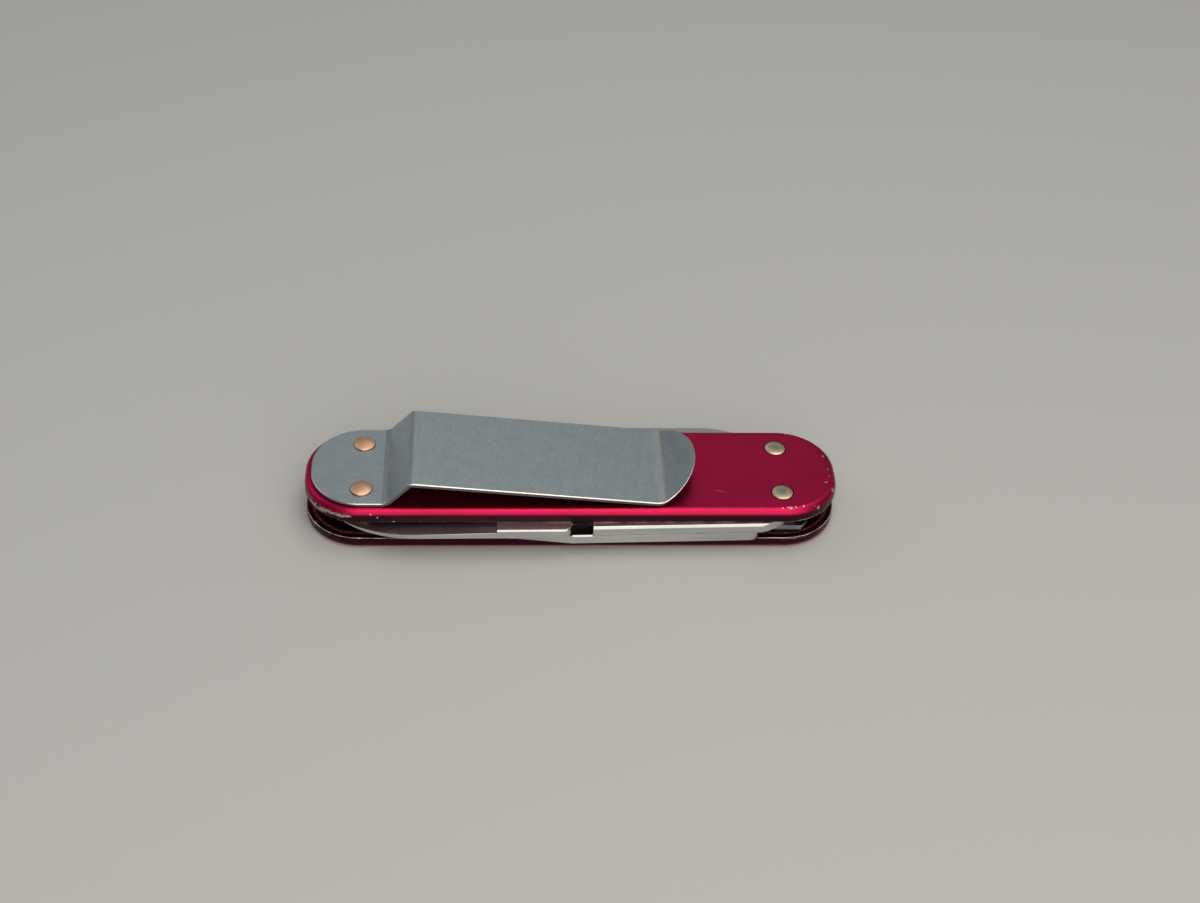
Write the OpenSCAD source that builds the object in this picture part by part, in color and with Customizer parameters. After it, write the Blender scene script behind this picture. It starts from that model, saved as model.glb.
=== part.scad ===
// Folding pocket knife with a spring clip for banknotes
//
// Two anodised aluminium scales stand one tool gap apart, held by four rivets and their
// spacers. The gap takes two layers of tools. Scissors fold out of the front edge on the
// front right rivet: the arm lies in the upper layer and the lever in the lower one. A nail
// file (upper layer) and a blade (lower layer) fold out of the back edge and share the back
// left rivet. One sprung bar along the middle presses on the tangs of all three, and the
// two left rivets also hold the clip, which is bent from one strip of spring sheet.
//
// X runs along the handle, Y across it and Z up, with the tools folded in.
// The origin is the middle of the flat bottom face. All sizes are in millimetres.

/* [Scales] */
// Length of the two scales
handle_l = 74; // [72:0.5:78]
// Width of the two scales
handle_w = 17.3; // [17:0.1:18]
// Radius of the four corners, seen from above
corner_r = 7.65; // [7:0.05:8.2]
// Thickness of one scale
scale_t = 1.95; // [1.7:0.05:2.3]
// Rounding of the outer edge of a scale
rim_r = 1; // [0.4:0.05:1.2]
// Gap between the scales, which holds two layers of tools
tool_gap = 3; // [2.8:0.05:3.4]

/* [Rivets] */
// Distance between the left and the right rivets
rivet_span_x = 58; // [57.5:0.1:59]
// Distance between the front and the back rivets
rivet_span_y = 9.36; // [9.2:0.02:9.6]
// Diameter of the rivet shanks
shank_d = 2.2; // [1.8:0.05:2.4]
// Diameter of the rivet heads
head_d = 3; // [2.8:0.05:3.4]
// Height of the domed heads on the clip
dome_h = 0.5; // [0.35:0.05:0.7]

/* [Money clip] */
// Thickness of the spring sheet
clip_t = 0.6; // [0.4:0.05:0.8]
// Width of the strip
clip_w = 15.6; // [14.5:0.1:16.2]
// Step from the end of the scale to the end of the clip
clip_inset = 0.95; // [0.6:0.05:1.5]
// Height of the gap below the crest
clip_rise = 3.6; // [2.8:0.1:4.2]
// Height of the free tip above the scale
tip_rise = 2.5; // [1.5:0.1:3]

/* [Scissors] */
// Distance from the handle's rivet to the tip of the blades
scissors_reach = 60.4; // [59.5:0.1:60.6]
// Distance from the handle's rivet to the scissors' own rivet
scissors_joint = 33.6; // [33:0.1:34.2]
// Width of the thumb notch in the arm
notch_w = 2.85; // [1.5:0.05:3]
// Depth of the thumb notch in the arm
notch_d = 3.2; // [2:0.05:3.4]

/* [Blade and file] */
// Distance from the rivet to the point of the blade
blade_reach = 54; // [50:0.5:54.5]
// Distance from the rivet to the blunt tip of the nail file
file_reach = 53.6; // [52:0.2:55]
// Distance from the rivet's centre line to the back of the blade
blade_back = 6; // [5.4:0.1:6.4]
// Distance from the rivet's centre line to the back of the file
file_back = 6.72; // [6:0.04:7]

/* [Hidden] */
$fn = 64;

// Colours
anodised_red = [0.52, 0.03, 0.11];
spring_steel = [0.56, 0.60, 0.63];
polished_steel = [0.75, 0.77, 0.79];
copper = [0.72, 0.43, 0.30];
brass = [0.76, 0.63, 0.42];

// The scales
half_l = handle_l / 2;
half_w = handle_w / 2;
corner_x = half_l - corner_r;
corner_y = half_w - corner_r;
top_z = 2 * scale_t + tool_gap;
gap_top = scale_t + tool_gap;

// The two layers of tools, with room for them to slide
side_play = 0.06;
layer_play = 0.08;
tool_t = (tool_gap - 2 * side_play - layer_play) / 2;
lower_z = scale_t + side_play;
upper_z = lower_z + tool_t + layer_play;

// Rivets, and the play round what turns or only slips on
rivet_x = rivet_span_x / 2;
rivet_y = rivet_span_y / 2;
shank_r = shank_d / 2;
head_r = head_d / 2;
slip_fit = 0.02;
turn_fit = 0.05;
head_seat = 0.3;
low_crown = 0.12;
head_rim = 0.2;
tail_inset = 0.03;
spacer_r = 1.8;
washer_x = 2.6;
washer_t = 0.75;
washer_hub_r = 2.4;

// A tang has a flat for each place where its tool stops, and round corners between them
tang_r = 4.05;
tang_flat = 3.07;
tang_end = 3.57;

// Centre spring: the wide middle is pinned, and a finger reaches each tang
spring_y = rivet_y - tang_flat - slip_fit;
spring_mid_l = 20;
spring_mid_w = 3.2;
finger_tip_x = rivet_x + 2.6;
finger_relief = 0.25;
pin_r = 0.8;
pin_x = 7;
pin_socket = 1;

// Clip: the corners of its underside from the scale's end to the free tip, with some length
// and width to trim
clip_knee_x = -25.4;
clip_crest_x = -22;
clip_touch_x = 12.4;
clip_tip_x = 17;
clip_clear = 0.05;
clip_start_x = clip_inset - half_l;
clip_tip_slope = (tip_rise - clip_clear) / (clip_tip_x - clip_touch_x);
clip_trim = 1;
clip_path = [
    [clip_start_x - clip_trim, 0],
    [clip_knee_x, 0],
    [clip_crest_x, clip_rise],
    [clip_touch_x, clip_clear],
    [clip_tip_x + clip_trim, tip_rise + clip_trim * clip_tip_slope]
];
clip_bend_r = [0, 1.4, 0.3, 2.2, 0];
bend_steps = 8;
strip_w = clip_w + 2 * clip_trim;
clip_end_r = 7;
clip_tip_l = 5.8;

// Scissors, drawn from the rivet along +x with the outer edge towards +y
grip_heel = [3, 4.49];
heel_mid = [2.1, 4.24];
grip_slope = 1.43;
blade_line = [30.5, 5.59];
blade_slope = 0.46;
belly_start = 20;
belly_r = 16;
arm_end_r = 2.6;
joint_y = 1.7;
joint_boss_r = 3.4;
lever_boss_r = 2.75;
joint_shank_r = 1.3;
joint_head_r = 1.9;
joint_head_t = 0.4;
notch_x = scissors_joint - 4.4;
notch_corner_r = 1.2;
grind_x = scissors_joint + 5.9;
grind_step = 0.4;
grind_along = 1.55;
grind_across = 3.4;
grip_break = 0.28;
blade_break = 0.18;
lever_inset = 0.04;
lever_grip_w = 2.9;
lever_end_x = 4.6;
leaf_post = [9.2, -1.55];
leaf_t = 0.4;
leaf_h = 1;
leaf_r = 40;
leaf_touch_x = 22;
leaf_tip_x = 24.5;
leaf_eye_r = 1.15;
leaf_post_r = 0.75;

// Blade and file, drawn the same way
blade_edge = -2.3;
blade_point_y = 2.2;
blade_belly_l = 14;
blade_along = 0.46;
blade_across = 3.5;
belly_edge_r = arc_r(blade_belly_l, blade_point_y - blade_edge);
file_edge = -0.6;
shoulder_x = 8.5;
shoulder_r = 11;
nick_disc_r = 16;
nick_sink = 0.65;
nick_tilt = 35;
nick_w = 0.5;
teeth_from = 13;
teeth_pitch = 0.75;
teeth_depth = 0.12;
teeth_slant = 30;
teeth_margin = 2.5;
edge_bevel_w = 0.9;
edge_bevel_angle = 16;
edge_land = 0.04;

// Places that repeat

module at_rivets(ends, sides) {
    for (x = ends, y = sides)
        translate([x * rivet_x, y * rivet_y, 0])
            children();
}

// Puts a tool that is drawn from its rivet into the front edge, pointing left
module in_front_edge(z) {
    translate([rivet_x, -rivet_y, z])
        rotate([0, 0, 180])
            children();
}

// Puts a tool that is drawn from its rivet into the back edge, pointing right
module in_back_edge(z) {
    translate([-rivet_x, rivet_y, z])
        children();
}

module drill(r, low, high) {
    translate([0, 0, low])
        cylinder(r = r, h = high - low);
}

// What lies beyond x, as a half plane large enough for any tool
module beyond(x) {
    translate([x, -50])
        square([100, 100]);
}

// A scale: flat plate with a rounded outer rim, built round its rim section

module rim_section(reach) {
    square([reach, scale_t - rim_r]);
    square([reach - rim_r, scale_t]);
    translate([reach - rim_r, scale_t - rim_r])
        circle(rim_r);
}

module scale_plate() {
    translate([-corner_x, 0, 0])
        rotate([90, 0, 90])
            linear_extrude(2 * corner_x) {
                rim_section(half_w);
                mirror([1, 0])
                    rim_section(half_w);
            }
    for (turn = [0, 180])
        rotate([0, 0, turn])
            translate([corner_x, 0, 0]) {
                translate([0, corner_y, 0])
                    rotate([90, 0, 0])
                        linear_extrude(2 * corner_y)
                            rim_section(corner_r);
                for (side = [0, 1])
                    mirror([0, side, 0])
                        translate([0, corner_y, 0])
                            rotate_extrude(angle = 90)
                                rim_section(corner_r);
            }
}

// Lying with its inner face at z = 0: rivet holes, sunk seats for heads and sockets for the pins
module drilled_scale(seat_ends) {
    difference() {
        scale_plate();
        at_rivets([-1, 1], [-1, 1])
            drill(shank_r + slip_fit, -1, scale_t + 1);
        at_rivets(seat_ends, [-1, 1])
            drill(head_r + slip_fit, scale_t - head_seat - tail_inset, scale_t + 1);
        for (x = [-pin_x, pin_x])
            translate([x, 0, 0])
                drill(pin_r + slip_fit, -1, pin_socket + slip_fit);
    }
}

module top_scale() {
    color(anodised_red)
        translate([0, 0, gap_top])
            drilled_scale([1]);
}

module bottom_scale() {
    color(anodised_red)
        translate([0, 0, scale_t])
            mirror([0, 0, 1])
                drilled_scale([-1, 1]);
}

// Rivets: a formed tail flush with the bottom scale, a shank and a crowned head

module crown(h) {
    ball_r = (head_r * head_r + h * h) / (2 * h);
    intersection() {
        translate([0, h - ball_r])
            circle(ball_r, $fn = 180);
        square([head_r, h]);
    }
}

// The head is a disc from head_z up to the crown
module rivet(end, side, head_z, crown_z, crown_h) {
    translate([end * rivet_x, side * rivet_y, 0])
        rotate_extrude() {
            translate([0, tail_inset])
                square([shank_r, crown_z - tail_inset]);
            translate([0, tail_inset])
                square([head_r, head_seat]);
            translate([0, head_z])
                square([head_r, crown_z - head_z]);
            translate([0, crown_z])
                crown(crown_h);
        }
}

module domed_rivet(side) {
    clip_top = top_z + clip_t;
    color(copper)
        rivet(-1, side, clip_top, clip_top + head_rim, dome_h - head_rim);
}

module flush_rivet(side) {
    color(brass)
        rivet(1, side, top_z - head_seat, top_z, low_crown);
}

module front_left_rivet() {
    domed_rivet(-1);
}

module back_left_rivet() {
    domed_rivet(1);
}

module front_right_rivet() {
    flush_rivet(-1);
}

module back_right_rivet() {
    flush_rivet(1);
}

// Sleeves that keep the scales apart where no tang does

module sleeve(end, side) {
    translate([end * rivet_x, side * rivet_y, 0])
        difference() {
            drill(spacer_r, scale_t, gap_top);
            drill(shank_r + slip_fit, scale_t - 1, gap_top + 1);
        }
}

module front_left_spacer() {
    color(brass)
        sleeve(-1, -1);
}

module back_right_spacer() {
    color(brass)
        sleeve(1, 1);
}

// Money clip: one strip bent along its path, then cut to its outline and drilled

clip_last = len(clip_path) - 1;

function along(angle) = [cos(angle), sin(angle)];

function across(angle) = [-sin(angle), cos(angle)];

// Direction of flat i, and how much the sheet turns at corner i
function heading(i) =
    let (step = clip_path[i + 1] - clip_path[i])
    atan2(step[1], step[0]);

function turn(i) = heading(i) - heading(i - 1);

// Radius of bend i on the underside of the sheet
function under_r(i) = clip_bend_r[i] + (turn(i) > 0 ? clip_t : 0);

function bend_centre(i) =
    let (setback = under_r(i) * tan(abs(turn(i)) / 2))
    clip_path[i] - setback * along(heading(i - 1)) + sign(turn(i)) * under_r(i) * across(heading(i - 1));

// Points of bend i on the face that lies lift above the underside
function bend_points(i, lift) = [
    for (k = [0 : bend_steps])
        bend_centre(i)
            + (lift - sign(turn(i)) * under_r(i)) * across(heading(i - 1) + turn(i) * k / bend_steps)
];

// One face of the sheet from end to end
function sheet_face(lift) = concat(
    [clip_path[0] + lift * across(heading(0))],
    [for (i = [1 : clip_last - 1]) each bend_points(i, lift)],
    [clip_path[clip_last] + lift * across(heading(clip_last - 1))]
);

function reversed(list) = [for (i = [len(list) - 1 : -1 : 0]) list[i]];

// Points of an oval arc round a centre, in short straight steps
function arc(centre, rx, ry, from, to, steps) = [
    for (i = [0 : steps])
        let (a = from + (to - from) * i / steps)
        centre + [rx * cos(a), ry * sin(a)]
];

// Half an oval at the free tip, and two round corners at the end on the scale
module clip_outline() {
    half_w = clip_w / 2;
    corner = [clip_start_x + clip_end_r, half_w - clip_end_r];
    polygon(concat(
        arc([clip_tip_x - clip_tip_l, 0], clip_tip_l, half_w, -90, 90, 32),
        arc(corner, clip_end_r, clip_end_r, 90, 180, 16),
        arc([corner[0], -corner[1]], clip_end_r, clip_end_r, 180, 270, 16)
    ));
}

module money_clip() {
    color(spring_steel)
        translate([0, 0, top_z])
            difference() {
                intersection() {
                    translate([0, strip_w / 2, 0])
                        rotate([90, 0, 0])
                            linear_extrude(strip_w)
                                polygon(concat(sheet_face(0), reversed(sheet_face(clip_t))));
                    translate([0, 0, -1])
                        linear_extrude(clip_rise + clip_t + 2)
                            clip_outline();
                }
                at_rivets([-1], [-1, 1])
                    drill(shank_r + slip_fit, -1, clip_t + 1);
            }
}

// Centre spring: half of it drawn, from the pinned middle to the finger under the front
// right tang, and turned half round for the finger under the back left tangs

module spring_half() {
    mid_x = spring_mid_l / 2;
    mid_y = spring_mid_w / 2;
    neck_x = mid_x + 3;
    pad_x = rivet_x - 2.6;
    polygon([
        [-0.01, -mid_y],
        [mid_x, -mid_y],
        [neck_x, finger_relief - spring_y],
        [pad_x - 1, finger_relief - spring_y],
        [pad_x, -spring_y],
        [finger_tip_x, -spring_y],
        [finger_tip_x, 0.2],
        [neck_x, spring_y],
        [mid_x, mid_y],
        [-0.01, mid_y]
    ]);
}

module centre_spring() {
    color(spring_steel)
        translate([0, 0, lower_z])
            difference() {
                linear_extrude(2 * tool_t + layer_play)
                    for (turn = [0, 180])
                        rotate(turn)
                            spring_half();
                for (x = [-pin_x, pin_x])
                    translate([x, 0, 0])
                        drill(pin_r + slip_fit, -1, tool_gap + 1);
            }
}

module spring_pin(x) {
    color(polished_steel)
        translate([x, 0, 0])
            drill(pin_r, scale_t - pin_socket, gap_top + pin_socket);
}

module left_spring_pin() {
    spring_pin(-pin_x);
}

module right_spring_pin() {
    spring_pin(pin_x);
}

// Shapes that the tools share

module tang() {
    intersection() {
        circle(tang_r);
        square([2 * tang_end, 2 * tang_flat], center = true);
    }
}

module pivot_bore() {
    drill(shank_r + turn_fit, -1, tool_t + 1);
}

// Cuts a sloping face into the top of a tool, from just above the line through place towards -y
module face_grind(place, along, across, above, plan_lean) {
    translate(place)
        rotate([across, along, 0])
            linear_extrude(2 * tool_t)
                polygon([[0, above], [plan_lean, -20], [60, -20], [60, above]]);
}

// Scissors

// Outer edge at distance x from the rivet: the grips up to the notch, then the arm's blade
function grip_edge(x) = grip_heel[1] + (x - grip_heel[0]) * tan(grip_slope);

function back_edge(x) = blade_line[1] + (x - blade_line[0]) * tan(blade_slope);

function lever_edge(x) = grip_edge(x) - lever_inset;

// The belly of the arm's blade: round, and tangent to its straight back
module belly_limit() {
    start_x = blade_line[0] + belly_start;
    difference() {
        square([200, 200], center = true);
        beyond(start_x);
    }
    translate([start_x + belly_r * sin(blade_slope), back_edge(start_x) - belly_r * cos(blade_slope)])
        circle(belly_r, $fn = 180);
}

module arm_plan() {
    difference() {
        union() {
            circle(arm_end_r);
            intersection() {
                polygon([
                    [0, -arm_end_r],
                    [2, -2.8],
                    [12.5, -2.8],
                    [15, -0.8],
                    [25.5, -0.7],
                    [scissors_joint - 3, -1],
                    [scissors_joint + 3, -1],
                    [scissors_joint + 4.4, 0.9],
                    [scissors_reach, 2.4],
                    [scissors_reach + 2, 2.5],
                    [scissors_reach + 2, back_edge(scissors_reach + 2)],
                    [notch_x, back_edge(notch_x)],
                    [notch_x, grip_edge(notch_x)],
                    grip_heel,
                    heel_mid,
                    [0, tang_flat],
                    [-0.9, 0.93 * arm_end_r]
                ]);
                belly_limit();
            }
            translate([scissors_joint, joint_y])
                circle(joint_boss_r);
        }
        translate([notch_x - notch_w, back_edge(notch_x) - notch_d])
            square([notch_w, 2 * notch_d]);
        translate([notch_x, back_edge(notch_x)])
            difference() {
                translate([-1, -notch_corner_r])
                    square([1 + notch_corner_r, 2 * notch_corner_r]);
                translate([notch_corner_r, -notch_corner_r])
                    circle(notch_corner_r);
                translate([-1, -notch_corner_r])
                    square([0.999, notch_corner_r]);
            }
    }
}

module scissors_arm() {
    grip_start = grip_heel[0] - 1;
    notch_mid = notch_x - notch_w / 2;
    color(polished_steel)
        in_front_edge(upper_z)
            difference() {
                linear_extrude(tool_t)
                    arm_plan();
                pivot_bore();
                translate([scissors_joint, joint_y, 0]) {
                    drill(joint_shank_r + slip_fit, -1, tool_t + 1);
                    drill(joint_head_r + slip_fit, tool_t - joint_head_t, tool_t + 1);
                }
                translate(leaf_post)
                    drill(leaf_post_r + slip_fit, -1, tool_t + 1);
                face_grind([grind_x, back_edge(grind_x), tool_t - grind_step], grind_along, grind_across, 2, 0);
                broken_edge(grip_start, notch_mid, grip_edge(grip_start), grip_slope, grip_break);
                broken_edge(notch_mid, grind_x + 1, back_edge(notch_mid), blade_slope, blade_break);
                broken_notch_corner();
            }
}

// Takes the sharp upper corner off an outer edge between two distances from the rivet
module broken_edge(from, to, y, slope, depth) {
    translate([from, y, tool_t])
        rotate([0, 0, slope])
            rotate([-45, 0, 0])
                translate([0, -3, -depth / sqrt(2)])
                    cube([to - from, 6, 3]);
}

// The same round the corner of the notch
module broken_notch_corner() {
    translate([notch_x + notch_corner_r, back_edge(notch_x) - notch_corner_r, tool_t])
        rotate([0, 0, 90])
            rotate_extrude(angle = 90)
                translate([notch_corner_r - blade_break, 0])
                    polygon([[0, 0], [1, -1], [1, 1], [0, 1]]);
}

// Turns with the arm, below its round end: a plate with the flats of a tang, which stops short
// of the lever, on a round hub that stands on the scale
module scissors_washer() {
    washer_top = tool_t + layer_play / 2;
    color(polished_steel)
        in_front_edge(lower_z)
            difference() {
                union() {
                    cylinder(r = washer_hub_r, h = washer_top);
                    translate([0, 0, washer_top - washer_t])
                        linear_extrude(washer_t)
                            difference() {
                                tang();
                                beyond(washer_x);
                            }
                }
                pivot_bore();
            }
}

// The lever lies under the arm: its grip is flush with the arm's, and its blade crosses behind
module lever_plan() {
    grip_y = lever_edge(lever_end_x) - lever_grip_w / 2;
    polygon([
        [lever_end_x, grip_y - lever_grip_w / 2],
        [scissors_joint - 6.6, grip_y - lever_grip_w / 2],
        [scissors_joint - 3, 0],
        [scissors_joint + 4, -0.6],
        [scissors_reach - 8.4, 1.7],
        [scissors_reach - 4.4, 2.3],
        [scissors_reach - 2.4, 2.9],
        [scissors_joint + 4, 4],
        [scissors_joint + 2.8, 4.2],
        [notch_x, lever_edge(notch_x)],
        [lever_end_x, grip_y + lever_grip_w / 2]
    ]);
    translate([lever_end_x, grip_y])
        circle(lever_grip_w / 2);
    translate([scissors_joint, joint_y])
        circle(lever_boss_r);
}

module scissors_lever() {
    notch_end = notch_x - notch_w;
    color(polished_steel)
        in_front_edge(lower_z)
            difference() {
                linear_extrude(tool_t)
                    lever_plan();
                translate([scissors_joint, joint_y, 0]) {
                    drill(joint_shank_r + turn_fit, -1, tool_t + 1);
                    drill(joint_head_r + turn_fit, -1, joint_head_t + turn_fit);
                }
                translate([0, 0, tool_t])
                    mirror([0, 0, 1])
                        mirror([0, 1, 0])
                            face_grind([grind_x, 0.5, tool_t - grind_step], grind_along, grind_across, 2, 0);
                broken_edge(notch_end, notch_x, lever_edge(notch_end), grip_slope, blade_break);
            }
}

module scissors_joint_rivet() {
    both_t = 2 * tool_t + layer_play;
    color(polished_steel)
        in_front_edge(lower_z)
            translate([scissors_joint, joint_y, 0]) {
                drill(joint_shank_r, 0, both_t);
                drill(joint_head_r, 0, joint_head_t);
                drill(joint_head_r, both_t - joint_head_t, both_t);
            }
}

// Leaf spring of the scissors: an eye on its rivet and a curved leaf against the lever's grip
module leaf_spring() {
    grip_inside = lever_edge(lever_end_x) - lever_grip_w;
    start = 90 + asin((leaf_touch_x - leaf_post[0]) / leaf_r);
    end = acos((leaf_tip_x - leaf_touch_x) / leaf_r);
    color(spring_steel)
        in_front_edge(lower_z + tool_t - leaf_h - layer_play)
            difference() {
                union() {
                    translate(leaf_post)
                        cylinder(r = leaf_eye_r, h = leaf_h);
                    translate([leaf_touch_x, grip_inside - turn_fit - leaf_r, 0])
                        rotate([0, 0, end])
                            rotate_extrude(angle = start - end)
                                translate([leaf_r - leaf_t, 0])
                                    square([leaf_t, leaf_h]);
                }
                translate(leaf_post)
                    drill(leaf_post_r + slip_fit, -1, leaf_h + 1);
            }
}

module leaf_spring_rivet() {
    color(polished_steel)
        in_front_edge(lower_z)
            translate(leaf_post) {
                drill(leaf_post_r, 0, 2 * tool_t + layer_play);
                drill(leaf_eye_r, 0, tool_t - leaf_h - 2 * layer_play);
            }
}

// Blade and file: a back and an edge, a round shoulder by the tang and a round point

module between_back_and_edge(back, edge, reach) {
    intersection() {
        translate([0, edge])
            square([reach, back - edge]);
        union() {
            beyond(shoulder_x);
            translate([shoulder_x, back - shoulder_r])
                circle(shoulder_r, $fn = 180);
        }
    }
}

// Rounds off the back (side = 1) or the edge (side = -1) from x on, with radius r
module round_off(x, y, side, r) {
    difference() {
        square([200, 200], center = true);
        beyond(x);
    }
    translate([x, y - side * r])
        circle(r, $fn = 360);
}

// A round that starts at x and has dropped by rise when it is run further on
function arc_r(run, rise) = (run * run + rise * rise) / (2 * rise);

// Nail nick: a thin disc set into the face at a slant
module nail_nick(x, y) {
    translate([x, y, tool_t])
        rotate([90 - nick_tilt, 0, 0])
            translate([0, nick_disc_r - nick_sink, 0])
                cylinder(r = nick_disc_r, h = nick_w);
}

module file_plan() {
    tip_drop_x = file_reach - 5.7;
    hollow_x = file_reach - 10.2;
    tang();
    intersection() {
        between_back_and_edge(file_back, file_edge, file_reach);
        round_off(tip_drop_x, file_back, 1, shoulder_r);
        round_off(hollow_x, file_edge, -1, arc_r(file_reach - hollow_x, 4.8));
    }
}

module nail_file() {
    color(polished_steel)
        in_back_edge(upper_z)
            difference() {
                linear_extrude(tool_t)
                    file_plan();
                pivot_bore();
                nail_nick(24, file_back - 1.6);
                file_teeth();
            }
}

// Slanting grooves over the file's face, up to a smooth margin along its back
module file_teeth() {
    teeth_l = file_reach - 9 - teeth_from;
    teeth_w = file_back - teeth_margin - file_edge;
    intersection() {
        translate([teeth_from, file_edge - 1, tool_t - 1])
            cube([teeth_l, teeth_w + 1, 2]);
        for (x = [teeth_from - teeth_w : teeth_pitch : teeth_from + teeth_l])
            translate([x, file_edge - 1, tool_t])
                rotate([-90, 0, -teeth_slant])
                    linear_extrude(3 * teeth_w)
                        polygon([[-teeth_depth, -teeth_depth], [teeth_depth, -teeth_depth], [0, teeth_depth]]);
    }
}

module blade_plan() {
    drop_x = blade_reach - 20;
    tang();
    intersection() {
        between_back_and_edge(blade_back, blade_edge, blade_reach);
        round_off(drop_x, blade_back, 1, arc_r(blade_reach - drop_x, blade_back - blade_point_y));
        round_off(blade_reach - blade_belly_l, blade_edge, -1, belly_edge_r);
    }
}

// The cutting edge: a narrow bevel on one side, along the straight edge and round the belly
module edge_bevel() {
    translate([blade_reach - blade_belly_l, blade_edge + belly_edge_r, 0]) {
        rotate([90, 0, -90])
            linear_extrude(blade_reach - blade_belly_l - shoulder_x - 3)
                edge_bevel_section();
        rotate([0, 0, -90])
            rotate_extrude(angle = 60, $fn = 360)
                edge_bevel_section();
    }
}

module edge_bevel_section() {
    slope = tan(edge_bevel_angle);
    middle = tool_t / 2 + edge_land;
    polygon([
        [belly_edge_r - edge_bevel_w, middle + edge_bevel_w * slope],
        [belly_edge_r + 1, middle - slope],
        [belly_edge_r + 1, tool_t + 1],
        [belly_edge_r - edge_bevel_w, tool_t + 1]
    ]);
}

module knife_blade() {
    grind_start = [10.5, 4.2, tool_t];
    color(polished_steel)
        in_back_edge(lower_z)
            difference() {
                linear_extrude(tool_t)
                    blade_plan();
                pivot_bore();
                face_grind(grind_start, blade_along, blade_across, 0, 2);
                edge_bevel();
                translate([0, 0, tool_t])
                    mirror([0, 0, 1]) {
                        face_grind(grind_start, blade_along, blade_across, 0, 2);
                        edge_bevel();
                        nail_nick(26, blade_back - 0.9);
                    }
            }
}

bottom_scale();
top_scale();
money_clip();
front_left_rivet();
back_left_rivet();
front_right_rivet();
back_right_rivet();
front_left_spacer();
back_right_spacer();
scissors_washer();
centre_spring();
left_spring_pin();
right_spring_pin();
scissors_arm();
scissors_lever();
scissors_joint_rivet();
leaf_spring();
leaf_spring_rivet();
nail_file();
knife_blade();
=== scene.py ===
"""Looks of a folding pocket knife with a spring clip for banknotes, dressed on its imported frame."""

import math

import bmesh
import bpy
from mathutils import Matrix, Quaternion, Vector


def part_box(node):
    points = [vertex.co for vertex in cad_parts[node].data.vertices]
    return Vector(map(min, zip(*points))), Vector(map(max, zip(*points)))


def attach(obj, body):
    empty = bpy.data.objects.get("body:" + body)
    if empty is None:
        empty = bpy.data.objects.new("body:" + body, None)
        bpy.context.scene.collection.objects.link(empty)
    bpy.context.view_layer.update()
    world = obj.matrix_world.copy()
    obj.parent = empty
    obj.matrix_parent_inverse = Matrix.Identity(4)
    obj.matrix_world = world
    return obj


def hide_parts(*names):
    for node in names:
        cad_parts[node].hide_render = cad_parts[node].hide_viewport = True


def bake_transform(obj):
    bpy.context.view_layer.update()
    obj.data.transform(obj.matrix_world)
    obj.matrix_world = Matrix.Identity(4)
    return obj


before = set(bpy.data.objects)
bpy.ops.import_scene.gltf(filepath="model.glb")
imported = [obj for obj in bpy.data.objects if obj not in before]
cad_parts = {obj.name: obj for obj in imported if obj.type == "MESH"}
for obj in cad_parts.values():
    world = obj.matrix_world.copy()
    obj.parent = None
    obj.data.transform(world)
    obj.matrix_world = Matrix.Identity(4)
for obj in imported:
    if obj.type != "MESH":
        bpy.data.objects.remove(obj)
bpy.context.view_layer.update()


# Scales: two aluminium plates with a round outer rim, milled, blasted matt and dyed red as
# they are anodised. Four rivets hold them one tool gap apart. The pocket has rubbed the dye
# off the sharp inner edges, and knocks have chipped it round both ends.

# Lengths on the knife are in millimetres. Colours are linear red, green, blue and alpha.
SCALE_CORNER_R = 7.65
SCALE_INNER_EDGE = 0.09
ANODISED_RED = (0.56, 0.0142, 0.079, 1)
ANODISED_DEEP_RED = (0.51, 0.0128, 0.071, 1)
ANODISED_ROUGHNESS = (0.36, 0.42)
ANODISED_COAT = 0.04
ANODISED_COAT_ROUGHNESS = 0.1
ANODISED_GRAIN = 0.09
ANODISED_GRAIN_H = 0.0012
# Painted shade: the walls and the lower rim of a scale are darkened to a dark wine red.
WALL_PAINTED_SHADE = (0.046, 0.009, 0.018, 1)
WALL_SHADE_FADE = 0.25
BOTTOM_SHADE_REACH = 1.5
TOP_SHADE_REACH = 1.3
# Painted shade: the bottom scale's inner face is dyed red and darkened, as it lies in shade between the
# scales.
INSIDE_SHADED_RED = (0.16, 0.018, 0.03, 1)
INSIDE_RED_MATT = 0.35
# The top scale's inner face is worn matt. Its pale rose is partly painted light, standing in for light
# bounced into the gap that the tools reflect.
INSIDE_WORN_AND_LIT_RED = (0.60, 0.27, 0.25, 1)
INSIDE_WORN_MATT = 0.9
INSIDE_DUST = (0.42, 0.20, 0.17, 1)
INSIDE_DEPTH = 0.02
UNSEALED_ROUGHNESS = 0.25
BARE_ALUMINIUM = (0.96, 0.74, 0.72, 1)
RUBBED_REACH = (0.06, 0.11)
RUBBED_FADE = 0.03
GRIME = (0.045, 0.010, 0.013, 1)
SCALE_GRIME_REACH = 0.09
CHIP_STRENGTH = 0.8
SCRAPE_STRENGTH = 0.7
SCRATCH_STRENGTH = 0.5

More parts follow.
